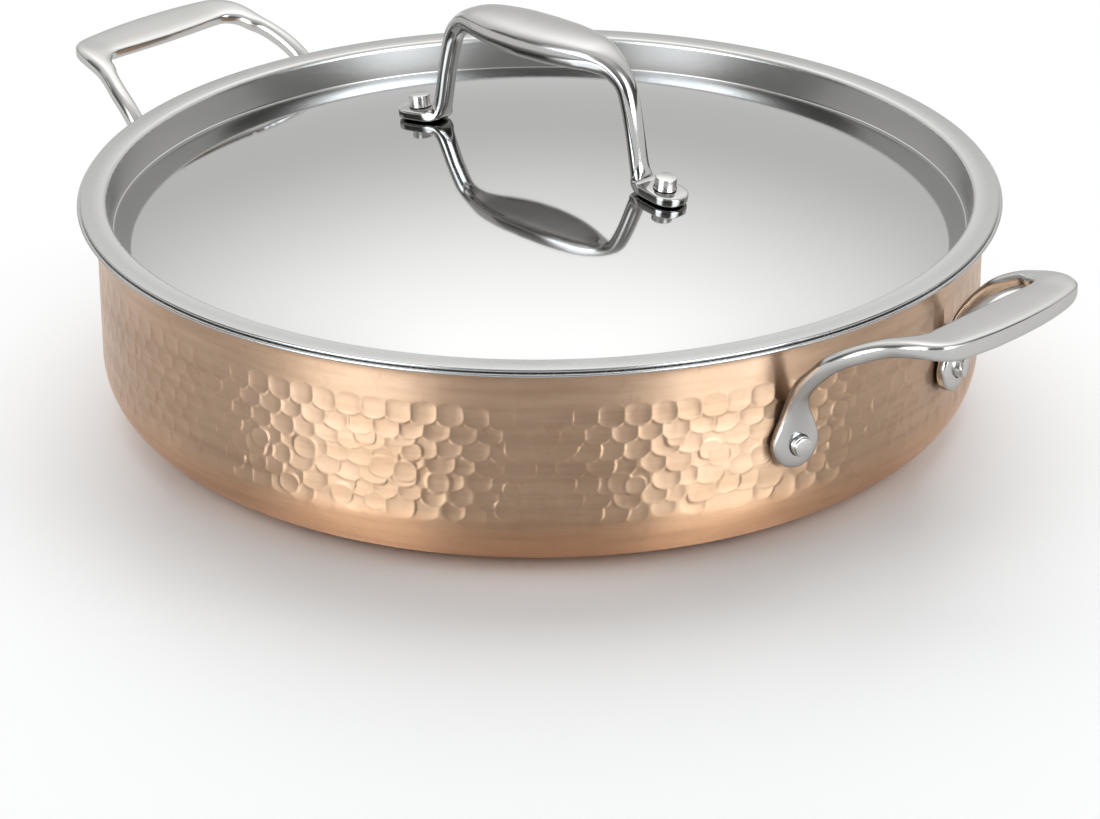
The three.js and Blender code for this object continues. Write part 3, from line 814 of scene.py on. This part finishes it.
def arch_rings():
    """Rings of half the lid handle, from a foot's tip to the middle of its grip."""
    centre = FOOT_SPREAD + FOOT_TIP - FOOT_RADIUS
    outline = [(centre + FOOT_RADIUS * math.cos(a), FOOT_RADIUS * math.sin(a), tip_share(a))
               for a in ROUND_END_ANGLES]
    outline += [(centre - inward * 2 * FOOT_RADIUS, width * FOOT_RADIUS, 1)
                for inward, width in FOOT_STRAIGHT]
    rows = [(x, dome_height(x) + FOOT_GAP + FOOT_THICKNESS / 2, half, 1, 0, thick)
            for x, half, thick in outline]
    for x, z, foot, grip in ARCH_SHARES:
        width = mix(mix(ARCH_LEG_WIDTH, 2 * FOOT_RADIUS, foot), ARCH_GRIP_WIDTH, grip)
        rows.append((x * FOOT_SPREAD, z * ARCH_HEIGHT, width / 2, foot, grip, 1))
    path = smoothed(rows, RING_STEPS)
    rings = []
    for i, (x, z, half, foot, grip, thick) in enumerate(path):
        go = path[min(i + 1, len(path) - 1), :2] - path[max(i - 1, 0), :2]
        if i == len(path) - 1:
            go = np.array([-1.0, 0])
        go /= np.linalg.norm(go)
        flat = min(max(foot, 0), 1)
        plain = mix(ARCH_LEG_THICKNESS, FOOT_THICKNESS, flat) / 2 * thick
        side, up = section(half, mix(plain, ARCH_CROWN, grip),
                           mix(plain, ARCH_BELLY, math.sqrt(max(grip, 0))),
                           mix(ARCH_SQUARENESS, FOOT_SQUARENESS, flat),
                           mix(ARCH_SQUARENESS, ARCH_GRIP_SQUARENESS, max(flat, grip)))
        rings.append(np.column_stack([x + go[1] * up, side, z - go[0] * up + FLANGE_TOP]))
    return rings


LID_SEAT = FOOT_GAP + FOOT_THICKNESS + 0.2 * MM
LID_SHANK = 2.4 * MM
LID_HEAD = 3.75 * MM
UNDER_HEAD = 5 * MM

# Profile of a lid rivet from its head under the lid: radius, and height over the dome
LID_RIVET = [
    (0, -2.6 * MM), (UNDER_HEAD - 0.7 * MM, -2.6 * MM), (UNDER_HEAD, -1.95 * MM), (UNDER_HEAD, -1.3 * MM),
    (LID_SHANK, -1.3 * MM), (LID_SHANK, LID_SEAT), (LID_HEAD + 0.25 * MM, LID_SEAT),
    (LID_HEAD + 0.35 * MM, LID_SEAT + 0.15 * MM), (LID_HEAD + 0.25 * MM, LID_SEAT + 0.45 * MM),
    (LID_HEAD, LID_SEAT + 0.8 * MM), (LID_HEAD, LID_SEAT + 3.8 * MM),
    (LID_HEAD - 0.1 * MM, LID_SEAT + 4.05 * MM), (LID_HEAD - 0.4 * MM, LID_SEAT + 4.2 * MM),
    (0, LID_SEAT + 4.2 * MM),
]

add_piece("lid_shell", *lid_panel(), lid_steel, "lid", "lid", ["lid_panel"])
add_piece("lid_grip", *skin(mirrored(arch_rings(), 0)), grip_steel, "lid", "lid_handle", ["lid_handle"])
for name, side in (("right", 1), ("left", -1)):
    tilt = side * math.atan(-dome_slope(FOOT_SPREAD))
    place = Matrix.Translation((side * FOOT_SPREAD, 0, FLANGE_TOP + dome_height(FOOT_SPREAD)))
    points, faces = revolve(LID_RIVET, RIVET_SEGMENTS)
    points = placed(points, place @ Matrix.Rotation(tilt, 4, "Y"))
    add_piece(f"grip_rivet_{name}", points, faces, rivet_steel, "lid", "rivets", [f"lid_rivet_{name}"])


# Studio

CAMERA_TURN = math.radians(43.44)
CAMERA_DISTANCE = 1.4042
CAMERA_RISE = 21.6201
CAMERA_AIM = (-0.1315, -3.2534, 0.2717)
FOCAL_PIXELS = 4012.1
PHOTO_WIDTH = 1100
SENSOR = 36

LAMP_TARGET = Vector((0, 0, 0.06))
PANEL_LIFT = 0.05
PANEL_STEPS = (96, 40)
COOL_LEVELS = (2, 5)
COOL_TONE = (0.84, 0.92, 1)

FLOOR_PALE = (0.9, 0.91, 0.915, 1)
SHADOW_OFFSET = 0.1
SHADOW_WIDTH = 0.7
SHADOW_FADE = (0.18, 0.42)
WORLD_LEVEL = 0.48


def make_camera():
    """Camera fitted to the photograph: a distance and a height angle, then small turns of its aim."""
    rise = math.radians(CAMERA_RISE)
    yaw, pitch, roll = (math.radians(a) for a in CAMERA_AIM)
    place = Vector((0, -math.cos(rise), math.sin(rise))) * CAMERA_DISTANCE
    forward, right = -place.normalized(), Vector((1, 0, 0))
    up = right.cross(forward)
    turn = Matrix.Rotation(yaw, 3, up)
    forward, right = turn @ forward, turn @ right
    turn = Matrix.Rotation(pitch, 3, right)
    forward, up = turn @ forward, turn @ up
    turn = Matrix.Rotation(roll, 3, forward)
    right, up = turn @ right, turn @ up
    around = Matrix.Rotation(CAMERA_TURN, 4, "Z")
    pose = Matrix((right, up, -forward)).transposed().to_4x4()
    pose.translation = place
    pose = Matrix.Translation((0, 0, FLANGE_TOP)) @ around @ pose
    data = bpy.data.cameras.new("camera")
    data.sensor_width = SENSOR
    data.lens = FOCAL_PIXELS / PHOTO_WIDTH * SENSOR
    camera = new_object("camera", data)
    camera.matrix_world = pose
    bpy.context.scene.camera = camera


def aim(azimuth, elevation, distance):
    """Matrix of a lamp that looks at the pot; azimuth 0 is the camera's side, to the right is positive."""
    a = math.radians(azimuth - 90) + CAMERA_TURN
    e = math.radians(elevation)
    away = Vector((math.cos(a) * math.cos(e), math.sin(a) * math.cos(e), math.sin(e)))
    pose = (-away).to_track_quat("-Z", "Y").to_matrix().to_4x4()
    pose.translation = LAMP_TARGET + away * distance
    return pose


def softbox(name, azimuth, elevation, distance, width, height, level):
    """Soft lamp that lights the dull surfaces; the panels are what the metal shows of it."""
    data = bpy.data.lights.new(name, "AREA")
    data.shape = "RECTANGLE"
    data.size, data.size_y = width, height
    data.energy = level * PI * width * height
    lamp = new_object(name, data)
    lamp.matrix_world = aim(azimuth, elevation, distance)
    lamp.visible_camera = False
    lamp.visible_glossy = False


def panel(name, azimuths, elevations, distance, level_at):
    """Curved panel that only metal shows: its glow is level_at(azimuth, elevation) in degrees."""
    spans = zip((azimuths, elevations), PANEL_STEPS)
    across, up = (np.linspace(*span, count + 1) for span, count in spans)
    az, el = np.meshgrid(across, up)
    turn, lift = np.radians(az - 90) + CAMERA_TURN, np.radians(el)
    points = np.stack([np.cos(turn) * np.cos(lift), np.sin(turn) * np.cos(lift), np.sin(lift)], -1)
    wide = len(across)
    faces = [(k, k + 1, k + wide + 1, k + wide)
             for row in range(PANEL_STEPS[1]) for k in range(row * wide, (row + 1) * wide - 1)]
    mesh = new_mesh(name, distance * points.reshape(-1, 3), faces)
    mesh.attributes.new("level", "FLOAT", "POINT").data.foreach_set("value", level_at(az, el).ravel())
    n = Nodes(name)
    level = n.add("ShaderNodeAttribute", attribute_name="level").outputs["Fac"]
    strength = n.product(level, n.spread(first_share(n.tree), 0.5, 1))
    tone = n.ramp(n.spread(level, 0, 1, COOL_LEVELS), [(0, WHITE), (1, COOL_TONE)])
    glow = n.add("ShaderNodeEmission", {"Color": tone, "Strength": strength})
    n.tree.links.new(glow.outputs[0], n.tree.nodes["Material Output"].inputs["Surface"])
    mesh.materials.append(n.material)
    made = new_object(name, mesh)
    made.location.z = PANEL_LIFT
    made.visible_camera = False
    made.visible_shadow = False
    made.visible_diffuse = False


# What the metal shows on the camera's side: level of the panel at each azimuth
FRONT_LEVELS = [
    (-160, 1.0), (-146, 0.4), (-118, 0.12), (-73, 0.12), (-62, 1.2), (-53, 4.2), (-34, 4.2),
    (-27, 1.2), (-20, 0.12), (20, 0.12), (27, 1.2), (33, 4.4), (54, 4.4), (63, 1.4), (76, 0.12),
    (118, 0.12), (146, 0.4), (160, 1.0),
]
FRONT_TOP = 78
LAMP_FLOOR = 0.5
LAMP_FOOT_GAIN = 2.3
DARK_ZONE = (0.1, 0.5)
BACK_GAIN = 1.1


def front_level(azimuth, elevation):
    """Two upright lamps, brightest at their feet, on a dark panel that turns white towards its top."""
    level = np.interp(azimuth, *zip(*FRONT_LEVELS))
    lamps = (1 - smoothstep(elevation, 38, 58)) * (1 + LAMP_FOOT_GAIN * (1 - smoothstep(elevation, 4, 22)))
    level = np.where(level > LAMP_FLOOR, LAMP_FLOOR + (level - LAMP_FLOOR) * lamps, level)
    level = np.maximum(level, mix(*DARK_ZONE, smoothstep(elevation, 14, 46)))
    return mix(level, 1.0, smoothstep(elevation, 50, FRONT_TOP))


def back_level(azimuth, elevation):
    """White, and brighter behind the pot and high up, where the near side of the dome looks."""
    aside = smoothstep(np.abs(azimuth - 180), 10, 75)
    rise = smoothstep(elevation, 14, 62)
    return 1 + BACK_GAIN * rise * (1 - aside)


def ray_share(tree, kinds):
    """1 for rays of any of these kinds."""
    path = tree.nodes.new("ShaderNodeLightPath")
    out = path.outputs[kinds[0]]
    for kind in kinds[1:]:
        more = tree.nodes.new("ShaderNodeMath")
        more.operation = "MAXIMUM"
        tree.links.new(out, more.inputs[0])
        tree.links.new(path.outputs[kind], more.inputs[1])
        out = more.outputs[0]
    return out


def first_share(tree):
    """1 for rays that haven't met a dull surface yet."""
    path = tree.nodes.new("ShaderNodeLightPath")
    first = tree.nodes.new("ShaderNodeMath")
    first.operation = "LESS_THAN"
    first.inputs[1].default_value = 0.5
    tree.links.new(path.outputs["Diffuse Depth"], first.inputs[0])
    return first.outputs[0]


SEEN = ["Is Camera Ray", "Is Glossy Ray", "Is Transmission Ray"]


def make_floor():
    """Pale floor: it keeps the soft shadow round and before the pot and is plain white further out."""
    n = Nodes("floor")
    mesh = new_mesh("floor", *revolve([(0, -0.02), (6, -0.02), (6, 0), (0, 0)], 96))
    mesh.materials.append(n.material)
    floor = new_object("floor", mesh)
    n.shader.inputs["Base Color"].default_value = FLOOR_PALE
    n.shader.inputs["Roughness"].default_value = 0.8
    n.shader.inputs["Specular IOR Level"].default_value = 0.1
    centre = (SHADOW_OFFSET * math.sin(CAMERA_TURN), -SHADOW_OFFSET * math.cos(CAMERA_TURN), 0)
    pool = n.add("ShaderNodeMapping", {"Vector": n.place(), "Location": centre,
                                       "Rotation": (0, 0, CAMERA_TURN), "Scale": (SHADOW_WIDTH, 1, 1)},
                 vector_type="TEXTURE").outputs[0]
    fade = n.spread(n.length(pool), 0, 1, SHADOW_FADE)
    white = n.add("ShaderNodeEmission", {"Strength": 1.0})
    share = n.product(fade, ray_share(n.tree, SEEN))
    both = n.add("ShaderNodeMixShader", {0: share, 1: n.shader.outputs[0], 2: white.outputs[0]})
    n.tree.links.new(both.outputs[0], n.tree.nodes["Material Output"].inputs["Surface"])


def make_world():
    """White where it is seen or mirrored, and dimmer as a light."""
    world = bpy.data.worlds.new("studio")
    bpy.context.scene.world = world
    world.use_nodes = True
    tree = world.node_tree
    background = tree.nodes["Background"]
    strength = tree.nodes.new("ShaderNodeMapRange")
    tree.links.new(ray_share(tree, SEEN), strength.inputs["Value"])
    strength.inputs["To Min"].default_value = WORLD_LEVEL
    background.inputs["Color"].default_value = (1, 1, 1, 1)
    tree.links.new(strength.outputs["Result"], background.inputs["Strength"])


make_camera()
make_floor()
make_world()
softbox("key_softbox", 180, 54, 1.4, 1.8, 1.4, 2.15)
softbox("left_softbox", -75, 30, 1.4, 0.9, 0.9, 1.6)
softbox("right_softbox", 75, 30, 1.4, 0.9, 0.9, 1.6)
panel("front_panel", (-160, 160), (0, FRONT_TOP), 2.2, front_level)
panel("back_panel", (100, 260), (8, 80), 2.0, back_level)

bpy.context.scene.view_settings.view_transform = "Standard"
